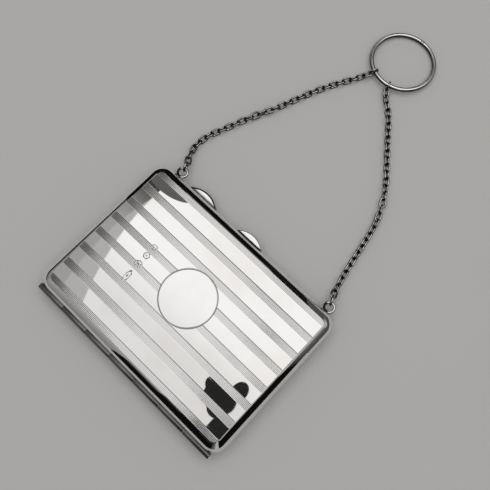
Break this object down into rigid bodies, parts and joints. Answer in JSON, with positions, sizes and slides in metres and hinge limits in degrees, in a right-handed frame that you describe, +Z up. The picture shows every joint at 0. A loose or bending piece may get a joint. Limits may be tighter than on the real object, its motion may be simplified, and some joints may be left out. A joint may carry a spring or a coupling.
{
  "type": "hinged card case on a chain",
  "caption": "Flat silver card case with two hinged covers, striped engine turning, and a link chain ending in a finger ring.",
  "frame": {"origin": "on the table under the middle of the case, on the back cover's resting face", "axes": "+X along the hinge, towards the right-hand loop; +Y from the hinge to the opening side and the chain; +Z up, out of the front cover"},
  "size_m": [0.088, 0.1752, 0.0105],
  "materials": {
    "silver": "polished, with matte engine-turned bands",
    "dark_silver": "oxidised, bright where it rubs",
    "lining": "ribbed silk over card",
    "leather": "thin, fine grained"
  },
  "bodies": {
    "case_back": {"back_cover": "silver", "back_knuckles": "silver", "hinge_pin": "silver", "closing_rim": "silver", "back_thumb_lug": "silver", "left_suspension_loop": "silver", "right_suspension_loop": "silver", "back_lining": "lining"},
    "case_front": {"front_cover": "silver", "front_knuckles": "silver", "front_thumb_lug": "silver", "front_lining": "lining", "card_pocket": "leather"},
    "chain_near": {"left_end_link": "dark_silver", "right_end_link": "dark_silver", "left_chain_lower": "dark_silver", "right_chain_lower": "dark_silver"},
    "chain_far": {"left_chain_upper": "dark_silver", "right_chain_upper": "dark_silver", "left_ring_link": "dark_silver", "right_ring_link": "dark_silver"},
    "ring": {"finger_ring": "silver"}
  },
  "joints": [
    {"name": "cover_hinge", "type": "hinge", "parent": "case_back", "child": "case_front", "pos_m": [0, -0.0316, 0.0044], "axis": [1, 0, 0], "range_deg": [0, 180]},
    {"name": "chain_swing", "type": "hinge", "parent": "case_back", "child": "chain_near", "pos_m": [-0.03665, 0.03511, 0.0038], "axis": [1, 0, 0], "range_deg": [0, 100]},
    {"name": "chain_fold", "type": "hinge", "parent": "chain_near", "child": "chain_far", "pos_m": [-0.03154, 0.07391, 0.00144], "axis": [0.9995, 0.0329, 0], "range_deg": [0, 60]},
    {"name": "ring_swing", "type": "hinge", "parent": "chain_far", "child": "ring", "pos_m": [-0.01169, 0.11732, 0.00217], "axis": [0.9945, -0.1044, 0.0057], "range_deg": [0, 75]}
  ]
}
